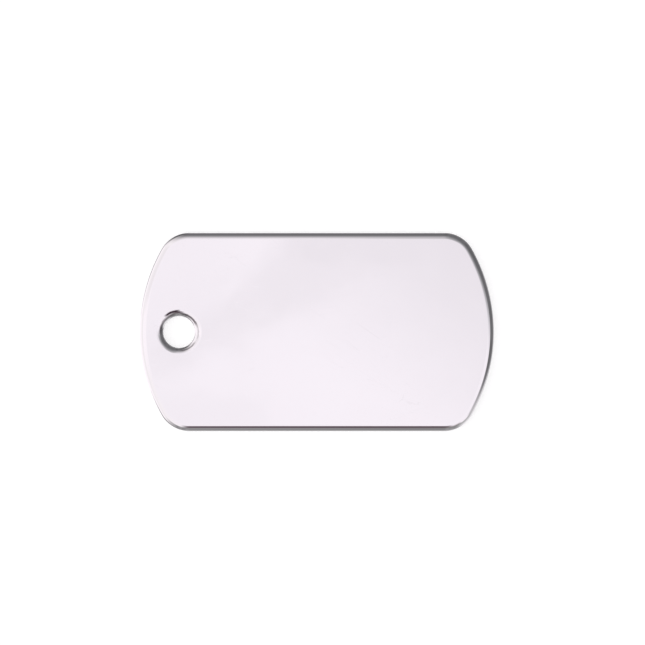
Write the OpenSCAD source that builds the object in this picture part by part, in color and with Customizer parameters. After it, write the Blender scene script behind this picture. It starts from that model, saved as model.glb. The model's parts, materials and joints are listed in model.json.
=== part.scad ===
// Identification tag: one plate of polished steel with bowed ends, rounded corners and a
// hole near one end for a ring or a chain. It lies flat, face up, with its hole towards -X.
// Sizes are in millimetres. The origin is under the middle of the plate, where it rests.

/* [Plate] */
// Length, from crown to crown of the two bowed ends
plate_l = 50; // [44:0.5:58]
// Width, from one straight side to the other
plate_w = 28; // [24:0.5:32]
// Thickness of the metal
plate_t = 1.5; // [1:0.1:3]

/* [Outline] */
// Radius of each bowed end
end_r = 23.8; // [18:0.1:40]
// Radius of each of the four corners
corner_r = 4.5; // [2:0.25:6]

/* [Hole] */
// Diameter of the bore
hole_d = 4.5; // [3:0.1:6]
// Metal between the bore and the crown of the end next to it
hole_margin = 3.3; // [2.2:0.1:6]

/* [Buffed edge] */
// How far in from the wall an edge starts to round off, seen from the front
edge_w = 0.95; // [0.4:0.05:1]
// How far along the wall the rounding reaches
edge_drop = 0.38; // [0.1:0.02:0.4]

/* [Hidden] */
$fn = 96;

// How far a cutting solid runs past the face that it cuts
over = 1;

hole_x = hole_margin + hole_d / 2 - plate_l / 2;

// Radius of the rounding: its arc touches the face and crosses the wall edge_drop from it
edge_r = (pow(edge_w, 2) + pow(edge_drop, 2)) / (2 * edge_drop);

// The end's arc and the corner's arc are tangent, so the line through their two centres
// also passes through the point where they meet
end_x = plate_l / 2 - end_r;
corner_y = plate_w / 2 - corner_r;
corner_x = end_x + sqrt(pow(end_r - corner_r, 2) - pow(corner_y, 2));

// How far the end's sector is drawn, as a multiple of the distance between the centres
sector_reach = 4;

// Section of what buffing takes off both edges of a wall that stands at x = 0, facing +X
module edge_waste() {
    lower_edge_waste();
    translate([0, plate_t]) mirror([0, 1]) lower_edge_waste();
}

module lower_edge_waste() {
    difference() {
        translate([-edge_w, -over]) square([edge_w + over, edge_r + over]);
        translate([-edge_w, edge_r]) circle(edge_r);
    }
}

// Section of the plate from x = 0 out to a wall at distance r
module plate_section(r) {
    difference() {
        square([r, plate_t]);
        translate([r, 0]) edge_waste();
    }
}

// The plate between the corners' centres, with its two straight sides
module middle() {
    translate([-corner_x, 0, 0]) rotate([90, 0, 90]) linear_extrude(2 * corner_x) {
        plate_section(plate_w / 2);
        mirror([1, 0]) plate_section(plate_w / 2);
    }
}

// The sector between the lines from the end's centre through the two corners' centres
module end_sector() {
    tip_x = end_x + sector_reach * (corner_x - end_x);
    tip_y = sector_reach * corner_y;
    translate([0, 0, -over]) linear_extrude(plate_t + 2 * over)
        polygon([[end_x, 0], [tip_x, -tip_y], [tip_x, tip_y]]);
}

// The bowed end towards +X, from corner to corner
module bowed_end() {
    intersection() {
        translate([end_x, 0, 0]) rotate_extrude() plate_section(end_r);
        end_sector();
    }
}

// The corner at side * corner_y, with side 1 or -1, out to where the bowed end begins
module corner(side) {
    difference() {
        translate([corner_x, side * corner_y, 0]) rotate_extrude() plate_section(corner_r);
        translate([corner_x - 2 * plate_w, -plate_w, -over])
            cube([2 * plate_w, 2 * plate_w, plate_t + 2 * over]);
        end_sector();
    }
}

// The bore and its two rounded mouths, as the solid to cut away
module bore() {
    wall = hole_d / 2;
    rotate_extrude() {
        translate([0, -over]) square([wall, plate_t + 2 * over]);
        translate([wall, 0]) mirror([1, 0]) edge_waste();
    }
}

module tag_plate() {
    color([0.94, 0.92, 0.95]) difference() {
        union() {
            middle();
            for (turn = [0, 180]) rotate(turn) {
                bowed_end();
                corner(1);
                corner(-1);
            }
        }
        translate([hole_x, 0, 0]) bore();
    }
}

tag_plate();
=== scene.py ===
"""An identification tag of polished steel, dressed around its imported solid.

The tag lies flat on a pale studio table, front up, with its hole towards -X. Lengths are in
metres and angles in degrees, unless a name says otherwise.
"""

import json
import logging
import math
from collections.abc import Mapping
from dataclasses import dataclass
from enum import Enum
from typing import Any, Union

import bpy
import numpy as np
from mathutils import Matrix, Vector

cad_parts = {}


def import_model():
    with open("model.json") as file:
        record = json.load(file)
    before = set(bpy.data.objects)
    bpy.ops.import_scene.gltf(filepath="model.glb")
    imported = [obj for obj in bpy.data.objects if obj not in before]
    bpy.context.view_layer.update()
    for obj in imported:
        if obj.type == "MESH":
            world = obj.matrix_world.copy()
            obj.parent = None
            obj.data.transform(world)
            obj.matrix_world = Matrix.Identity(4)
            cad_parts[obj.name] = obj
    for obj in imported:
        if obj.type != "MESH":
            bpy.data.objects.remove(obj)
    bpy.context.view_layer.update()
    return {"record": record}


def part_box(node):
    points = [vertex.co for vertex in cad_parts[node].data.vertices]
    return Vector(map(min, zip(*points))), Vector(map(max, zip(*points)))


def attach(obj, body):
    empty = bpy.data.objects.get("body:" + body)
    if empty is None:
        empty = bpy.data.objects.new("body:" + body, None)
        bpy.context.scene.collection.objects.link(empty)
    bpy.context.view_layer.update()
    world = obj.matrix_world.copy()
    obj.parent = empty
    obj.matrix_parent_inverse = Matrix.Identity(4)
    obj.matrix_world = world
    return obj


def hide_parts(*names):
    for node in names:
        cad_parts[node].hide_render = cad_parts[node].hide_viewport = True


LOG = logging.getLogger("identification_tag")
MM = 0.001

Colour = tuple[float, float, float]
Paint = Union[bpy.types.NodeSocket, Colour]
Number = Union["Signal", float]


def grey(level: float) -> Colour:
    """Gives a grey, from 0 for black to 1 for white."""
    return level, level, level


class Mark(Enum):
    """The numbers that the plate's mesh holds at each point, for its finish.

    WALL goes from 0 to 1 where an edge turns down into a wall. RIM goes from 0, where an edge
    starts to round off, to 1 at the wall.
    """

    WALL = "wall"
    RIM = "rim"


class Blend(Enum):
    """What a Mix node blends: its data type, then the numbers of its two inputs and its output.

    The node's sockets for one data type have the same names as those for another.
    """

    NUMBERS = ("FLOAT", 2, 3, 0)
    COLOURS = ("RGBA", 6, 7, 2)


class Signal:
    """A number that varies over a surface, held as the output socket that gives it.

    Arithmetic on signals adds Math nodes to their graph.
    """

    def __init__(self, graph: "Graph", socket: bpy.types.NodeSocket) -> None:
        """Keeps the graph that new nodes join, and the socket."""
        self.graph = graph
        self.socket = socket

    def __add__(self, other: Number) -> "Signal":
        """Gives this signal plus another number."""
        return self.graph.math("ADD", self, other)

    def __sub__(self, other: Number) -> "Signal":
        """Gives this signal less another number."""
        return self.graph.math("SUBTRACT", self, other)

    def __rsub__(self, other: Number) -> "Signal":
        """Gives another number less this signal."""
        return self.graph.math("SUBTRACT", other, self)

    def __mul__(self, other: Number) -> "Signal":
        """Gives this signal times another number."""
        return self.graph.math("MULTIPLY", self, other)

    def __truediv__(self, other: Number) -> "Signal":
        """Gives this signal divided by another number."""
        return self.graph.math("DIVIDE", self, other)

    def __pow__(self, other: Number) -> "Signal":
        """Gives this signal, whatever its sign, raised to an even power."""
        return self.graph.math("POWER", abs(self), other)

    def __abs__(self) -> "Signal":
        """Gives this signal without its sign."""
        return self.graph.math("ABSOLUTE", self)

    __radd__ = __add__
    __rmul__ = __mul__


class Graph:
    """The shader nodes of one material or of the surroundings."""

    def __init__(self, tree: bpy.types.NodeTree) -> None:
        """Empties a node tree and keeps it."""
        tree.nodes.clear()
        self.tree = tree

    def node(
        self,
        kind: str,
        settings: Mapping[str, Any] | None = None,
        sockets: Mapping[str | int, Any] | None = None,
    ) -> bpy.types.Node:
        """Adds a node.

        Args:
            kind: The node's type.
            settings: Its own settings, which are set before its sockets.
            sockets: A value, a signal or another node's output for each named input.

        Returns:
            The new node.
        """
        made = self.tree.nodes.new(kind)
        for name, value in (settings or {}).items():
            setattr(made, name, value)
        for key, value in (sockets or {}).items():
            self.feed(made.inputs[key], value)
        return made

    def feed(self, target: bpy.types.NodeSocket, value: Any) -> None:
        """Links a signal or an output to an input, or sets a plain value on it.

        Args:
            target: The input.
            value: What it gets.
        """
        if isinstance(value, Signal):
            value = value.socket
        if isinstance(value, bpy.types.NodeSocket):
            self.tree.links.new(value, target)
        elif target.type == "RGBA":
            target.default_value = (*value, 1.0)
        else:
            target.default_value = value

    def math(self, operation: str, *operands: Number) -> Signal:
        """Gives a Math node's result for its operands."""
        made = self.node("ShaderNodeMath", {"operation": operation}, dict(enumerate(operands)))
        return Signal(self, made.outputs[0])

    def ease(self, value: Number, low: float, high: float) -> Signal:
        """Gives a smooth step of a value.

        Args:
            value: The number that rises.
            low: Where the step begins, at 0.
            high: Where the step ends, at 1.

        Returns:
            The step, 3 t squared less 2 t cubed, t being the value's share of the way.
        """
        made = self.node(
            "ShaderNodeMapRange",
            {"interpolation_type": "SMOOTHSTEP"},
            {"Value": value, "From Min": low, "From Max": high},
        )
        return Signal(self, made.outputs["Result"])

    def mix(self, blend: Blend, share: Number, first: Any, second: Any) -> bpy.types.NodeSocket:
        """Adds a Mix node.

        Args:
            blend: What it blends.
            share: 0 where the result is the first, 1 where it is the second.
            first: A number or a colour.
            second: The same.

        Returns:
            The node's output.
        """
        kind, first_input, second_input, output = blend.value
        sockets = {0: share, first_input: first, second_input: second}
        return self.node("ShaderNodeMix", {"data_type": kind}, sockets).outputs[output]

    def blend(self, share: Number, first: Number, second: Number) -> Signal:
        """Gives a number that goes from the first to the second as the share goes from 0 to 1."""
        return Signal(self, self.mix(Blend.NUMBERS, share, first, second))

    def tint(self, share: Number, first: Paint, second: Paint) -> bpy.types.NodeSocket:
        """Gives a colour that goes from the first to the second as the share goes from 0 to 1."""
        return self.mix(Blend.COLOURS, share, first, second)

    def mark(self, mark: Mark) -> Signal:
        """Gives one of the numbers that the mesh holds."""
        made = self.node("ShaderNodeAttribute", {"attribute_name": mark.value})
        return Signal(self, made.outputs["Fac"])

    def place(
        self, grain: float | tuple[float, float, float] = 1.0, turn: float = 0.0
    ) -> bpy.types.NodeSocket:
        """Gives the surface point in the piece's own frame, counted in grains of a pattern.

        Args:
            grain: The size of a grain, the same all ways or along the pattern's X, Y and Z.
            turn: The angle from the piece's X to the pattern's, about Z.

        Returns:
            The point turned back by the angle, then divided by the sizes.
        """
        point = self.node("ShaderNodeTexCoord").outputs["Object"]
        sizes = grain if isinstance(grain, tuple) else (grain, grain, grain)
        turned = (0.0, 0.0, math.radians(turn))
        sockets = {"Vector": point, "Rotation": turned, "Scale": sizes}
        return self.node("ShaderNodeMapping", {"vector_type": "TEXTURE"}, sockets).outputs[0]

    def axes(self, vector: bpy.types.NodeSocket) -> list[Signal]:
        """Gives a vector's X, Y and Z."""
        made = self.node("ShaderNodeSeparateXYZ", sockets={0: vector})
        return [Signal(self, part) for part in made.outputs]

    def noise(self, point: bpy.types.NodeSocket, detail: float = 1.0) -> Signal:
        """Gives a cloudy pattern, whose clouds are about 1 across.

        Args:
            point: Where it is read.
            detail: How many finer octaves it has.

        Returns:
            A number about 0.5, mostly from 0.3 to 0.7.
        """
        sockets = {"Vector": point, "Scale": 1.0, "Detail": detail}
        return Signal(self, self.node("ShaderNodeTexNoise", sockets=sockets).outputs[0])

    def sway(self, point: bpy.types.NodeSocket, detail: float = 1.0) -> Signal:
        """Gives the same pattern less its middle value, so that it lies about 0."""
        return self.noise(point, detail) - 0.5

    def level_length(self, x: Signal, y: Signal, least: float) -> Signal:
        """Gives the length of a level vector.

        Args:
            x: Its X.
            y: Its Y.
            least: The result at 0, small and above 0, so that it can be divided by.

        Returns:
            The square root of the sum of the three squares.
        """
        return self.math("SQRT", x * x + y * y + least**2)


@dataclass(frozen=True)
class Stroke:
    """A thin dark stroke of painted shade that lies along part of a circle round a hole.

    Its middle is at a distance from the bore and at a compass angle, from +X towards +Y.
    """

    away: float
    width: float
    facing: float
    half_length: float
    softness: float
    strength: float

    def share(self, graph: Graph, x: Signal, y: Signal, out: Signal) -> Signal:
        """Gives the stroke's share of the surface.

        Args:
            graph: The finish's nodes.
            x: The level direction out from the hole's axis, along X.
            y: The same, along Y.
            out: The distance out from the bore.

        Returns:
            The strength, times a smooth step of the cosine of the compass angle from its
            middle, times exp(-t to the fourth), t being the distance across it over half its
            width.
        """
        angle = math.radians(self.facing)
        outside = math.cos(math.radians(self.half_length + self.softness / 2))
        inside = math.cos(math.radians(self.half_length - self.softness / 2))
        along = graph.ease(x * math.cos(angle) + y * math.sin(angle), outside, inside)
        across = (out - self.away) * (2 / self.width)
        return self.strength * along * graph.math("EXPONENT", across**4 * -1)


@dataclass(frozen=True)
class PaintedMouthShade:
    """Painted shade in the mouth of a hole, laid in a few dark, ragged strokes round it."""

    hole_centre: tuple[float, float]
    hole_radius: float
    # Colour and roughness of the painted shade in the hole's mouth.
    colour: Colour = (0.05, 0.028, 0.04)
    roughness: float = 0.3
    ragged_grain: float = 0.45 * MM
    ragged_reach: float = 0.16 * MM
    least_reach: float = 0.001 * MM
    # Strokes of painted shade: dark bands laid round the hole's mouth.
    crescent: Stroke = Stroke(
        away=0.72 * MM, width=0.32 * MM, facing=110, half_length=19, softness=14, strength=1.0)
    crescent_shade_band: Stroke = Stroke(
        away=0.30 * MM, width=0.35 * MM, facing=120, half_length=15, softness=20, strength=0.5)
    left_shade_band: Stroke = Stroke(
        away=0.40 * MM, width=0.34 * MM, facing=158, half_length=24, softness=20, strength=0.6)
    upper_right_shade_band: Stroke = Stroke(
        away=0.38 * MM, width=0.28 * MM, facing=53, half_length=28, softness=25, strength=0.8)
    right_line: Stroke = Stroke(
        away=0.48 * MM, width=0.16 * MM, facing=10, half_length=28, softness=25, strength=0.35)
    lower_right_shade_band: Stroke = Stroke(
        away=0.42 * MM, width=0.26 * MM, facing=-58, half_length=20, softness=25, strength=0.6)

    def strokes(self) -> tuple[Stroke, ...]:
        """Lists the strokes."""
        shade_bands = (self.crescent_shade_band, self.left_shade_band, self.upper_right_shade_band)
        return (self.crescent, *shade_bands, self.right_line, self.lower_right_shade_band)

    def share(self, graph: Graph) -> Signal:
        """Gives the painted shade's share of the surface, as what none of its strokes leaves bare."""
        x, y, _ = graph.axes(graph.place())
        x, y = x - self.hole_centre[0], y - self.hole_centre[1]
        reach = graph.level_length(x, y, self.least_reach)
        ragged = graph.sway(graph.place(self.ragged_grain), detail=3.0) * self.ragged_reach
        out = reach - self.hole_radius + ragged
        bare: Number = 1.0
        for stroke in self.strokes():
            bare = (1 - stroke.share(graph, x / reach, y / reach, out)) * bare
        return 1 - bare


@dataclass(frozen=True)
class Look:
    """How one zone of the steel looks: its colour, its roughness and the height of its relief."""

    colour: bpy.types.NodeSocket
    roughness: Signal
    relief: Signal


@dataclass(frozen=True)
class PolishedSteel:
    """Mirror-polished steel: bright faces, buffed edges and punched walls that are left duller.

    A wall's upper part was sheared smooth by the punch, and its lower part tore off, with a
    ragged line between them.
    """

    # Painted shade: dark strokes in the mouth of the hole.
    mouth_shade: PaintedMouthShade
    light: Colour = (0.905, 0.88, 0.905)
    dark: Colour = (0.895, 0.87, 0.895)
    cloud_grain: float = 14 * MM
    cloud_span: tuple[float, float] = (0.3, 0.7)
    mirror_roughness: float = 0.02
    haze_grain: float = 5 * MM
    haze_span: tuple[float, float] = (0.35, 0.75)
    haze_roughness: float = 0.02
    buffing_width: float = 0.12 * MM
    buffing_length: float = 6 * MM
    buffing_depth: float = 0.00002 * MM
    buffing_roughness: float = 0.01
    rim_start: float = 0.1
    rim_streaks: float = 12.0
    rim_roughness: float = 0.05
    wave_grain: float = 11 * MM
    wave_depth: float = 0.012 * MM
    hairline_width: float = 0.8 * MM
    hairline_length: float = 20 * MM
    hairline_turns: tuple[float, float] = (12.0, -35.0)
    hairline_sharpness: float = 0.006
    hairline_roughness: float = 0.12
    hairline_gaps: tuple[float, float] = (0.45, 0.6)
    sheared_colour: Colour = (0.72, 0.70, 0.71)
    sheared_roughness: float = 0.2
    shear_width: float = 0.08 * MM
    shear_length: float = 1.5 * MM
    shear_depth: float = 0.003 * MM
    shear_roughness: float = 0.1
    tear_height: float = 0.7 * MM
    tear_softness: float = 0.1 * MM
    tear_grain: float = 1.25 * MM
    tear_wander: float = 0.3 * MM
    torn_colour: Colour = (0.5, 0.49, 0.49)
    torn_roughness: float = 0.42
    torn_grain: float = 0.06 * MM
    torn_depth: float = 0.008 * MM

    def hairlines(self, graph: Graph) -> Signal:
        """Gives fine scratches that cross the faces in two directions.

        Args:
            graph: The finish's nodes.

        Returns:
            1 on a scratch and 0 beside it. A scratch is where a noise, drawn out along a
            direction, passes through its middle value, and a second noise leaves gaps in it.
        """
        kept = graph.ease(graph.noise(graph.place(self.haze_grain), detail=2.0), *self.hairline_gaps)
        grain = (self.hairline_length, self.hairline_width, self.hairline_width)
        bare: Number = 1.0
        for turn in self.hairline_turns:
            level = abs(graph.sway(graph.place(grain, turn), detail=0.0))
            bare = graph.ease(level, 0.0, self.hairline_sharpness) * bare
        return (1 - bare) * kept

    def rim_streaking(self, graph: Graph, rim: Signal) -> Signal:
        """Gives streaks that follow a rounded rim, as a noise drawn out along it."""
        x, y, _ = graph.axes(graph.place(self.buffing_length))
        followed = graph.node("ShaderNodeCombineXYZ", sockets={0: x, 1: y, 2: rim * self.rim_streaks})
        return graph.noise(followed.outputs[0])

    def face(self, graph: Graph) -> Look:
        """Dresses the faces and the rounded rims.

        Args:
            graph: The finish's nodes.

        Returns:
            Faint clouds and the slow waves of rolled sheet, with haze, lengthwise buffing lines
            and hairlines on the faces, and streaks on the rims.
        """
        clouds = graph.ease(graph.noise(graph.place(self.cloud_grain), detail=2.0), *self.cloud_span)
        haze = graph.ease(graph.noise(graph.place(self.haze_grain), detail=4.0), *self.haze_span)
        waves = graph.noise(graph.place(self.wave_grain), detail=2.0)
        buffing = graph.noise(
            graph.place((self.buffing_length, self.buffing_width, self.buffing_width)))
        rim = graph.mark(Mark.RIM)
        flat = self.mirror_roughness + haze * self.haze_roughness
        flat = flat + buffing * self.buffing_roughness
        flat = flat + self.hairlines(graph) * self.hairline_roughness
        round_off = self.mirror_roughness + self.rim_streaking(graph, rim) * self.rim_roughness
        return Look(
            colour=graph.tint(clouds, self.dark, self.light),
            roughness=graph.blend(graph.ease(rim, 0.0, self.rim_start), flat, round_off),
            relief=waves * self.wave_depth + buffing * self.buffing_depth,
        )

    def wall(self, graph: Graph) -> Look:
        """Dresses the walls.

        Args:
            graph: The finish's nodes.

        Returns:
            Upright shear lines above and a torn grain below, on each side of a ragged line.
        """
        _, _, height = graph.axes(graph.place())
        wander = graph.sway(graph.place(self.tear_grain), detail=3.0) * self.tear_wander
        above = (height + wander - self.tear_height) / self.tear_softness
        torn = 1 - graph.ease(above, -0.5, 0.5)
        shear = graph.noise(graph.place((self.shear_width, self.shear_width, self.shear_length)))
        grit = graph.noise(graph.place(self.torn_grain), detail=3.0)
        sheared = self.sheared_roughness + self.shear_roughness * shear
        return Look(
            colour=graph.tint(torn, self.sheared_colour, self.torn_colour),
            roughness=graph.blend(torn, sheared, self.torn_roughness),
            relief=graph.blend(torn, shear * self.shear_depth, grit * self.torn_depth),
        )

    def material(self) -> bpy.types.Material:
        """Builds the finish as a material.

        Returns:
            A metal that is the faces' or the walls' by the mark on the mesh, under the dark strokes
            of painted shade in the hole's mouth.
        """
        made = bpy.data.materials.new("polished_steel")
        made.use_nodes = True
        graph = Graph(made.node_tree)
        walled = graph.mark(Mark.WALL)
        face, wall = self.face(graph), self.wall(graph)
        # Share of the painted shade in the hole's mouth, which darkens the colour below.
        painted_shade = self.mouth_shade.share(graph)
        metal = graph.tint(walled, face.colour, wall.colour)
        roughness = graph.blend(walled, face.roughness, wall.roughness)
        relief = graph.blend(walled, face.relief, wall.relief)
        bump = graph.node("ShaderNodeBump", sockets={"Strength": 1.0, "Distance": 1.0, "Height": relief})
        shader = graph.node(
            "ShaderNodeBsdfPrincipled",
            sockets={
                "Base Color": graph.tint(painted_shade, metal, self.mouth_shade.colour),
                "Metallic": 1.0,
                "Roughness": graph.blend(painted_shade, roughness, self.mouth_shade.roughness),
                "Normal": bump.outputs[0],
            },
        )
        graph.node("ShaderNodeOutputMaterial", sockets={"Surface": shader.outputs[0]})
        return made


@dataclass(frozen=True)
class MatteTable:
    """The table's plain pale surface, lit from below as well as from above."""

    colour: Colour = grey(0.6)
    roughness: float = 0.6
    glow: float = 0.54

    def material(self) -> bpy.types.Material:
        """Builds the finish as a material."""
        made = bpy.data.materials.new("matte_table")
        made.use_nodes = True
        graph = Graph(made.node_tree)
        shader = graph.node(
            "ShaderNodeBsdfPrincipled",
            sockets={
                "Base Color": self.colour,
                "Roughness": self.roughness,
                "Emission Color": grey(1.0),
                "Emission Strength": self.glow,
            },
        )
        graph.node("ShaderNodeOutputMaterial", sockets={"Surface": shader.outputs[0]})
        return made


@dataclass(frozen=True)
class Outline:
    """The plate's outline, seen from the front: bowed ends, round corners and straight sides.

    It has eight stretches. On each, a point is centre + radius * normal: on an arc the normal
    turns about a fixed centre, and on a straight side the centre slides under a fixed normal.
    """

    length: float
    width: float
    end_radius: float = 23.8 * MM
    corner_radius: float = 4.5 * MM
    way_step: float = 0.6 * MM
    turn_step: float = 3.0
    sight_step: float = 2.0

    def stretches(self) -> np.ndarray:
        """Works out the eight stretches.

        Returns:
            A row for each: the centre's x and y where it starts and where it ends, the radius,
            and the normal's angle at each end. The last four are the first four turned half
            round about the middle of the plate.
        """
        end_x = self.length / 2 - self.end_radius
        corner_y = self.width / 2 - self.corner_radius
        reach = math.sqrt((self.end_radius - self.corner_radius) ** 2 - corner_y**2)
        corner_x = end_x + reach
        meet = math.degrees(math.atan2(corner_y, reach))
        half = np.array(
            [
                [end_x, 0, end_x, 0, self.end_radius, -meet, meet],
                [corner_x, corner_y, corner_x, corner_y, self.corner_radius, meet, 90],
                [corner_x, corner_y, -corner_x, corner_y, self.corner_radius, 90, 90],
                [-corner_x, corner_y, -corner_x, corner_y, self.corner_radius, 90, 180 - meet],
            ]
        )
        turned = half * [-1, -1, -1, -1, 1, 1, 1] + [0, 0, 0, 0, 0, 180, 180]
        return np.concatenate([half, turned])

    def at(self, place: np.ndarray) -> tuple[np.ndarray, np.ndarray]:
        """Finds points of the outline.

        Args:
            place: Where, as stretch numbers: 2.25 is a quarter of the way along stretch 2.

        Returns:
            The points, and their outward normals, each as rows of x and y.
        """
        table = self.stretches()
        place = np.mod(place, len(table))
        first, last, radius, first_angle, last_angle = np.split(
            table[place.astype(int)], (2, 4, 5, 6), axis=1)
        share = (place % 1)[:, None]
        centre = first * (1 - share) + last * share
        angle = np.radians(first_angle * (1 - share) + last_angle * share)
        normal = np.concatenate([np.cos(angle), np.sin(angle)], axis=1)
        return centre + radius * normal, normal

    def stations(self, hole: np.ndarray, count: int) -> np.ndarray:
        """Spaces stations along the outline, closer where it turns and where the hole is near.

        The spacing is even in a sum of three measures, each counted in its own step: the way
        along the outline, the angle that its normal turns, and the angle that the way takes up
        as seen from the hole.

        Args:
            hole: The hole's centre, x and y.
            count: How many stations.

        Returns:
            Their places, from the crown of the +X end, once round.
        """
        crown, stretches, fineness = 0.5, 8, 2000
        fine = np.linspace(crown, crown + stretches, stretches * fineness + 1)
        point, normal = self.at(fine)
        way = np.linalg.norm(np.diff(point, axis=0), axis=1)
        turn, sight = (
            np.degrees(np.abs(np.diff(np.unwrap(np.arctan2(arm[:, 1], arm[:, 0])))))
            for arm in (normal, point - hole)
        )
        steps = way / self.way_step + turn / self.turn_step + sight / self.sight_step
        measure = np.concatenate([[0.0], np.cumsum(steps)])
        wanted = np.linspace(0, measure[-1], count, endpoint=False)
        return np.interp(wanted, measure, fine)


@dataclass(frozen=True)
class Edge:
    """How an edge of the plate is rounded, in section, from the face to the wall.

    A wide buffed arc touches the face, and a small arc that touches it and the wall breaks the
    corner where the two would meet.
    """

    drop: float
    width: float = 0.95 * MM
    broken: float = 0.01 * MM

    def section(self, buffed_rows: int, broken_rows: int) -> np.ndarray:
        """Works out the section.

        Args:
            buffed_rows: Steps along the wide arc.
            broken_rows: Steps along the small arc.

        Returns:
            Rows of inset from the wall, depth below the face, and tilt from the face in degrees.
            On the wide arc, of radius R, the inset is width - R sin(tilt) and the depth is
            R - R cos(tilt). On the small one, of radius b, they are b - b sin(tilt) and the
            depth of its centre - b cos(tilt).
        """
        radius = (self.width**2 + self.drop**2) / (2 * self.drop)
        join = math.asin((self.width - self.broken) / (radius - self.broken))
        centre_depth = radius - (radius - self.broken) * math.cos(join)
        wide = np.linspace(0, join, buffed_rows + 1)
        small = np.linspace(join, math.pi / 2, broken_rows + 1)[1:]
        inset = np.concatenate(
            [self.width - radius * np.sin(wide), self.broken * (1 - np.sin(small))]
        )
        depth = np.concatenate(
            [radius * (1 - np.cos(wide)), centre_depth - self.broken * np.cos(small)]
        )
        return np.stack([inset, depth, np.degrees(np.concatenate([wide, small]))], axis=1)


@dataclass
class TagPlate:
    """The one piece of the tag: a plate with a hole, all of whose edges are rounded alike."""

    outline: Outline
    edge: Edge
    thickness: float
    hole_centre: tuple[float, float]
    hole_radius: float
    finish: PolishedSteel
    stations: int = 640
    face_rows: int = 8
    buffed_rows: int = 14
    broken_rows: int = 5
    guard: float = 0.04 * MM
    wall_tilts: tuple[float, float] = (60.0, 90.0)

    NODE = "tag_plate"

    @classmethod
    def from_frame(cls, record: Mapping[str, Any]) -> "TagPlate":
        """Reads the plate's sizes off the frame.

        Args:
            record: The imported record, whose mount ring_hole gives the hole.

        Returns:
            The plate. The hole's two mouths take up what its bore leaves of the thickness.
        """
        low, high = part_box(cls.NODE)
        hole = next(mount for mount in record["mounts"] if mount["name"] == "ring_hole")
        length, width, thickness = (high[axis] - low[axis] for axis in range(3))
        hole_centre = tuple(hole["pos_m"][:2])
        hole_radius = hole["dims"]["r_mm"] * MM
        return cls(
            outline=Outline(length, width),
            edge=Edge((thickness - hole["dims"]["length_mm"] * MM) / 2),
            thickness=thickness,
            hole_centre=hole_centre,
            hole_radius=hole_radius,
            # The finish, with dark strokes of painted shade in the hole's mouth.
            finish=PolishedSteel(PaintedMouthShade(hole_centre, hole_radius)),
        )

    def rows(self) -> np.ndarray:
        """Works out the plate's section, from the hole's wall across the front to the outer wall.

        Returns:
            A row for each line of points: its share of the way from the hole's edge to the
            outer edge, its inset from the wall that it belongs to, its depth below the front,
            and its tilt in degrees.
        """
        edge = self.edge.section(self.buffed_rows, self.broken_rows)
        foot = edge[-1] + [0, self.guard, 0]
        lip = edge[0] + [self.guard, 0, 0]
        rim = np.concatenate([[lip], edge, [foot]])
        across = np.linspace(0, 1, self.face_rows + 2)[1:-1, None]
        face = np.concatenate([across, np.broadcast_to(lip, (self.face_rows, 3))], axis=1)
        near = np.concatenate([np.zeros((len(rim), 1)), rim[::-1]], axis=1)
        far = np.concatenate([np.ones((len(rim), 1)), rim], axis=1)
        return np.concatenate([near, face, far])

    def surface(self) -> tuple[np.ndarray, np.ndarray]:
        """Works out the plate's whole surface as one grid that closes both ways.

        With u round the plate and v through its section, a point is (1 - s) * H + s * O, where s
        is the row's share, O is the outline's point less the row's inset along its normal, and
        H is the hole's centre plus the hole's radius and the row's inset, towards that point.

        Returns:
            The points, shaped rows by stations by 3, and each row as rows() gives it.
        """
        hole = np.array(self.hole_centre)
        point, normal = self.outline.at(self.outline.stations(hole, self.stations))
        towards = (point - hole) / np.linalg.norm(point - hole, axis=1, keepdims=True)
        front = self.rows()
        back = front[::-1] * [1, 1, -1, 1] + [0, 0, self.thickness, 0]
        rows = np.concatenate([front, back])
        share, inset, depth = (rows[:, k, None, None] for k in range(3))
        flat = (1 - share) * (hole + (self.hole_radius + inset) * towards)
        flat = flat + share * (point - inset * normal)
        height = np.broadcast_to(self.thickness - depth, (*flat.shape[:2], 1))
        return np.concatenate([flat, height], axis=2), rows

    def build(self) -> bpy.types.Object:
        """Makes the plate's mesh.

        Returns:
            The plate, with the marks that its finish reads.
        """
        points, section = self.surface()
        rows, stations = points.shape[:2]
        index = np.arange(rows * stations).reshape(rows, stations)
        after = np.roll(index, -1, axis=0)
        beside = np.roll(index, -1, axis=1)
        corner = np.roll(after, -1, axis=1)
        quads = np.stack([index, after, corner, beside], axis=2).reshape(-1, 4)
        mesh = bpy.data.meshes.new("tag_plate_polished")
        mesh.from_pydata(points.reshape(-1, 3), [], quads)
        mesh.shade_smooth()
        marks = {
            Mark.WALL: np.interp(section[:, 3], self.wall_tilts, (0.0, 1.0)),
            Mark.RIM: np.clip(1 - section[:, 1] / self.edge.width, 0, 1),
        }
        for mark, values in marks.items():
            layer = mesh.attributes.new(mark.value, "FLOAT", "POINT")
            layer.data.foreach_set("value", np.repeat(values, stations).astype(np.float32))
        made = bpy.data.objects.new(mesh.name, mesh)
        bpy.context.scene.collection.objects.link(made)
        return made

    def dress(self, plate: bpy.types.Object) -> None:
        """Gives the plate its finish and its place in the frame."""
        plate.data.materials.append(self.finish.material())
        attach(plate, "root")
        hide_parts(self.NODE)
        LOG.info("%s: %d faces", plate.name, len(plate.data.polygons))


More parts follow.
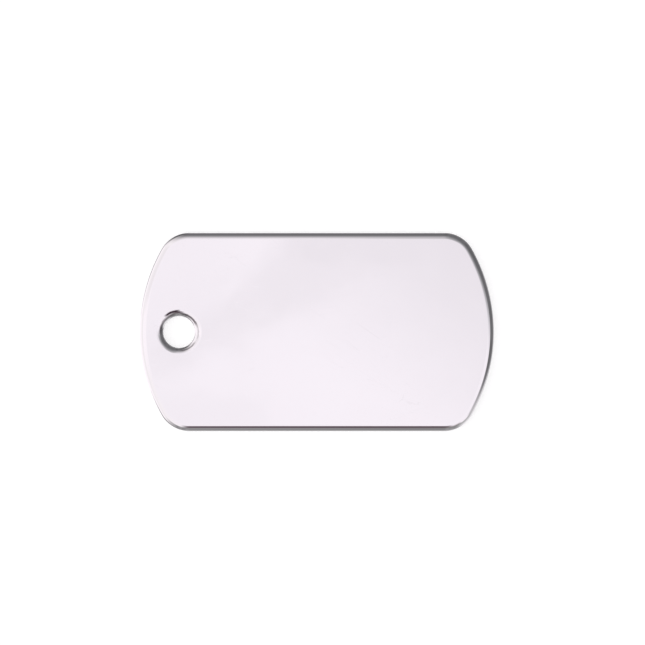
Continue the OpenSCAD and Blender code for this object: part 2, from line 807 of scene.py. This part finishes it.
@dataclass(frozen=True)
class Looked:
    """The direction looked in, as the surroundings' nodes measure it.

    What is divided by has a least value: LEAST_LEVEL for the level part, LEAST_HEIGHT for the
    height.

    Attributes:
        x: Its level part along X, as a share of the whole level part.
        y: The same along Y.
        fall: Its angle from the zenith, in radians.
        slope_x: Its X over its height.
        slope_y: Its Y over its height.
    """

    x: Signal
    y: Signal
    fall: Signal
    slope_x: Signal
    slope_y: Signal

    LEAST_LEVEL = 0.00003
    LEAST_HEIGHT = 0.01

    @classmethod
    def read(cls, graph: Graph) -> "Looked":
        """Adds the nodes that measure the direction."""
        x, y, z = graph.axes(graph.node("ShaderNodeTexCoord").outputs["Generated"])
        level = graph.level_length(x, y, cls.LEAST_LEVEL)
        above = graph.math("MAXIMUM", z, cls.LEAST_HEIGHT)
        return cls(x / level, y / level, graph.math("ARCCOSINE", z), x / above, y / above)


@dataclass(frozen=True)
class Board:
    """A soft-edged board, lit or dark, that stands beside the table, as the tag sees it.

    Its facing is a compass angle, from +X towards +Y as seen from above. Its top is an angle
    from the zenith, and it fades in over a further angle below that. A cloth has folds, which
    are darker and lighter than its colour by a share of it.
    """

    facing: float
    half_width: float
    softness: float
    top: float
    fade: float
    colour: Colour
    folds: float = 0.0

    def share(self, graph: Graph, looked: Looked) -> Signal:
        """Gives the board's share of what is seen.

        Args:
            graph: The surroundings' nodes.
            looked: The direction looked in.

        Returns:
            1 on the board and 0 off it: a smooth step of the cosine of the compass angle from
            its middle, times a smooth step of the angle from the zenith.
        """
        angle = math.radians(self.facing)
        aligned = looked.x * math.cos(angle) + looked.y * math.sin(angle)
        outside = math.cos(math.radians(min(self.half_width + self.softness / 2, 180)))
        inside = math.cos(math.radians(max(self.half_width - self.softness / 2, 0)))
        top, full = math.radians(self.top), math.radians(self.top + self.fade)
        return graph.ease(aligned, outside, inside) * graph.ease(looked.fall, top, full)

    def paint(self, graph: Graph, crests: Signal) -> Paint:
        """Gives the board's colour.

        Args:
            graph: The surroundings' nodes.
            crests: 0 in the hollows of a cloth's folds and 1 on their crests.

        Returns:
            The plain colour of a board, or the colour of a cloth as its folds change it.
        """
        if not self.folds:
            return self.colour
        hollow, crest = (
            tuple(part * (1 + side * self.folds) for part in self.colour) for side in (-1, 1)
        )
        return graph.tint(crests, hollow, crest)


@dataclass(frozen=True)
class SoftEdge:
    """A straight soft edge across the panel overhead: its facing, its middle and its width.

    The last two are distances on the panel, which hangs a metre above the table.
    """

    facing: float
    middle: float
    width: float

    def beyond(self, graph: Graph, looked: Looked) -> Signal:
        """Gives a smooth step from 0 before the edge to 1 beyond it."""
        angle = math.radians(self.facing)
        along = looked.slope_x * math.cos(angle) + looked.slope_y * math.sin(angle)
        return graph.ease(along, self.middle - self.width / 2, self.middle + self.width / 2)


@dataclass(frozen=True)
class Veil:
    """A faint shade on the panel overhead, on the far side of two soft edges that cross."""

    depth: float
    first: SoftEdge
    second: SoftEdge

    def light_left(self, graph: Graph, looked: Looked) -> Signal:
        """Gives the share of the panel's light that the veil lets through."""
        return 1 - self.depth * self.first.beyond(graph, looked) * self.second.beyond(graph, looked)


@dataclass(frozen=True)
class Panel:
    """The soft panel overhead, which the tag's front mirrors, and the veils that shade it.

    Where veils overlap, the deepest counts. They end between the two angles from the zenith in
    veiled, and past them the panel gives an even share of its light.
    """

    colour: Colour = (1.035, 1.0, 1.04)
    back_veil: Veil = Veil(0.08, SoftEdge(112, 3.5 * MM, 6 * MM), SoftEdge(-52, -20 * MM, 8 * MM))
    far_back_veil: Veil = Veil(0.11, SoftEdge(90, 13 * MM, 5 * MM), SoftEdge(0, -8 * MM, 7 * MM))
    left_back_veil: Veil = Veil(0.03, SoftEdge(112, 3.5 * MM, 6 * MM), SoftEdge(180, 20 * MM, 20 * MM))
    right_veil: Veil = Veil(0.115, SoftEdge(45, 14 * MM, 50 * MM), SoftEdge(0, -10 * MM, 20 * MM))
    left_front_veil: Veil = Veil(0.035, SoftEdge(-90, 17 * MM, 5 * MM), SoftEdge(180, 13 * MM, 8 * MM))
    veiled: tuple[float, float] = (3.5, 8.0)
    unveiled: float = 0.98

    def seen(self, graph: Graph, looked: Looked) -> bpy.types.NodeSocket:
        """Gives the panel's colour in the direction looked in."""
        light: Number = 1.0
        back = (self.back_veil, self.far_back_veil, self.left_back_veil)
        for veil in (*back, self.right_veil, self.left_front_veil):
            light = graph.math("MINIMUM", veil.light_left(graph, looked), light)
        past = graph.ease(looked.fall, *(math.radians(angle) for angle in self.veiled))
        light = graph.blend(past, light, self.unveiled)
        return graph.tint(light, grey(0.0), self.colour)


@dataclass(frozen=True)
class Surroundings:
    """What the steel reflects: the panel overhead, and boards and dark cloths round the table.

    The photograph's bottom is the table's front, towards -Y. A high piece starts near the
    zenith, and a foot stands on the table.
    """

    panel: Panel = Panel()
    high_corner: Board = Board(
        facing=40, half_width=28, softness=50, top=0, fade=34, colour=(0.35, 0.36, 0.37))
    right_cloth: Board = Board(
        facing=18, half_width=44, softness=30, top=36, fade=6, colour=(0.16, 0.16, 0.165),
        folds=0.12)
    right_front_cloth: Board = Board(
        facing=-43, half_width=15, softness=20, top=45, fade=9, colour=grey(0.5), folds=0.1)
    right_front_foot: Board = Board(
        facing=-37, half_width=19, softness=20, top=64, fade=8, colour=grey(0.86))
    back_line: Board = Board(
        facing=70, half_width=12, softness=20, top=7, fade=3, colour=(0.65, 0.63, 0.65))
    front_slit: Board = Board(
        facing=-90, half_width=12, softness=22, top=19.5, fade=3, colour=(0.13, 0.10, 0.115))
    front_post: Board = Board(
        facing=-70, half_width=15, softness=10, top=23, fade=27, colour=(0.22, 0.20, 0.19))
    left_board: Board = Board(
        facing=178, half_width=70, softness=45, top=16, fade=6, colour=(1.02, 0.985, 1.0))
    left_lamp: Board = Board(
        facing=180, half_width=8, softness=20, top=3, fade=8, colour=(1.08, 1.035, 1.065))
    left_shade: Board = Board(
        facing=155, half_width=12, softness=16, top=12, fade=18, colour=(0.94, 0.905, 0.925))
    left_band: Board = Board(
        facing=180, half_width=60, softness=40, top=42, fade=8, colour=(0.985, 0.955, 0.965))
    left_foot: Board = Board(
        facing=180, half_width=60, softness=40, top=60, fade=8, colour=(1.12, 1.08, 1.10))
    upper_left_gap: Board = Board(
        facing=142, half_width=22, softness=30, top=74, fade=9, colour=grey(0.36))
    lower_left_gap: Board = Board(
        facing=-137, half_width=15, softness=20, top=75, fade=4, colour=grey(0.2))
    back_foot: Board = Board(
        facing=85, half_width=41, softness=48, top=62, fade=6, colour=grey(0.04))
    back_cloth: Board = Board(
        facing=65, half_width=49, softness=45, top=0, fade=58, colour=(0.15, 0.15, 0.155),
        folds=0.15)
    front_cloth: Board = Board(
        facing=-88, half_width=38, softness=42, top=43, fade=6, colour=grey(0.3), folds=0.18)
    sweep: Board = Board(
        facing=-5, half_width=100, softness=20, top=71, fade=12, colour=grey(0.5))
    back_right_foot: Board = Board(
        facing=55, half_width=28, softness=24, top=77, fade=5, colour=grey(0.13))
    fold_width: float = 8.0
    fold_height: float = 28.0
    fold_span: tuple[float, float] = (0.3, 0.7)

    def crests(self, graph: Graph, looked: Looked) -> Signal:
        """Gives the folds of the cloths, upright and soft, as 0 in a hollow and 1 on a crest."""
        across, down = math.radians(self.fold_width), math.radians(self.fold_height)
        point = graph.node("ShaderNodeCombineXYZ", sockets={
            0: looked.x / across, 1: looked.y / across, 2: looked.fall / down})
        return graph.ease(graph.noise(point.outputs[0], detail=2.0), *self.fold_span)

    def boards(self) -> tuple[Board, ...]:
        """Lists the boards and cloths, each in front of those before it."""
        front = (self.front_slit, self.front_post)
        left = (self.left_board, self.left_lamp, self.left_shade, self.left_band, self.left_foot)
        gaps = (self.upper_left_gap, self.lower_left_gap)
        feet = (self.back_foot, self.back_cloth, self.front_cloth, self.sweep, self.back_right_foot)
        right_front = (self.right_front_cloth, self.right_front_foot)
        back = (self.back_line, self.high_corner, self.right_cloth)
        return (*back, *front, *left, *gaps, *feet, *right_front)

    def build(self) -> bpy.types.World:
        """Makes the surroundings' nodes."""
        world = bpy.data.worlds.new("studio_surroundings")
        world.use_nodes = True
        graph = Graph(world.node_tree)
        looked = Looked.read(graph)
        crests = self.crests(graph, looked)
        seen = self.panel.seen(graph, looked)
        for board in self.boards():
            seen = graph.tint(board.share(graph, looked), seen, board.paint(graph, crests))
        background = graph.node("ShaderNodeBackground", sockets={"Color": seen})
        graph.node("ShaderNodeOutputWorld", sockets={"Surface": background.outputs[0]})
        return world


@dataclass(frozen=True)
class Studio:
    """The pale table, the lamp over it, what stands round it and the camera above."""

    surroundings: Surroundings = Surroundings()
    table_finish: MatteTable = MatteTable()
    table_radius: float = 4.0
    table_gap: float = 0.02 * MM
    table_points: int = 96
    lamp_height: float = 1.5
    lamp_width: float = 1.2
    lamp_power: float = 6.0
    camera_distance: float = 0.6
    picture_width: float = 91.05 * MM
    picture_centre: tuple[float, float] = (0.8 * MM, 1.34 * MM)
    sensor_width: float = 36.0

    def table(self) -> bpy.types.Object:
        """Makes the table: a disc whose points are radius * (cos t, sin t), just under the tag."""
        turn = np.linspace(0, 2 * math.pi, self.table_points, endpoint=False)
        rim = np.stack([np.cos(turn), np.sin(turn), np.zeros_like(turn)], axis=1)
        mesh = bpy.data.meshes.new("table")
        points = rim * self.table_radius - [0, 0, self.table_gap]
        mesh.from_pydata(points, [], [range(len(turn))])
        mesh.materials.append(self.table_finish.material())
        made = bpy.data.objects.new(mesh.name, mesh)
        bpy.context.scene.collection.objects.link(made)
        return made

    def lamp(self) -> bpy.types.Object:
        """Makes the soft lamp overhead, which lights the table and isn't seen in the steel."""
        light = bpy.data.lights.new("soft_lamp", "AREA")
        light.shape = "DISK"
        light.size = self.lamp_width
        light.energy = self.lamp_power
        made = bpy.data.objects.new(light.name, light)
        made.location = (0, 0, self.lamp_height)
        made.visible_glossy = False
        made.visible_camera = False
        bpy.context.scene.collection.objects.link(made)
        return made

    def camera(self, height: float) -> bpy.types.Object:
        """Makes the camera, which looks straight down at the tag.

        Args:
            height: The height of the tag's front.

        Returns:
            The camera, with a lens that takes in picture_width at that height.
        """
        data = bpy.data.cameras.new("camera")
        data.sensor_width = self.sensor_width
        data.lens = self.sensor_width * self.camera_distance / self.picture_width
        made = bpy.data.objects.new(data.name, data)
        made.location = (*self.picture_centre, height + self.camera_distance)
        bpy.context.scene.collection.objects.link(made)
        bpy.context.scene.camera = made
        return made

    def build(self, height: float) -> None:
        """Builds the studio round a tag whose front is at a height."""
        scene = bpy.context.scene
        scene.world = self.surroundings.build()
        scene.view_settings.view_transform = "Standard"
        for made in (self.table(), self.lamp(), self.camera(height)):
            LOG.info("%s: in the studio", made.name)


def main() -> None:
    """Loads the frame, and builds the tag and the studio."""
    logging.basicConfig(level=logging.INFO, format="%(name)s: %(message)s")
    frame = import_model()
    tag = TagPlate.from_frame(frame["record"])
    tag.dress(tag.build())
    Studio().build(tag.thickness)


if __name__ == "__main__":
    main()
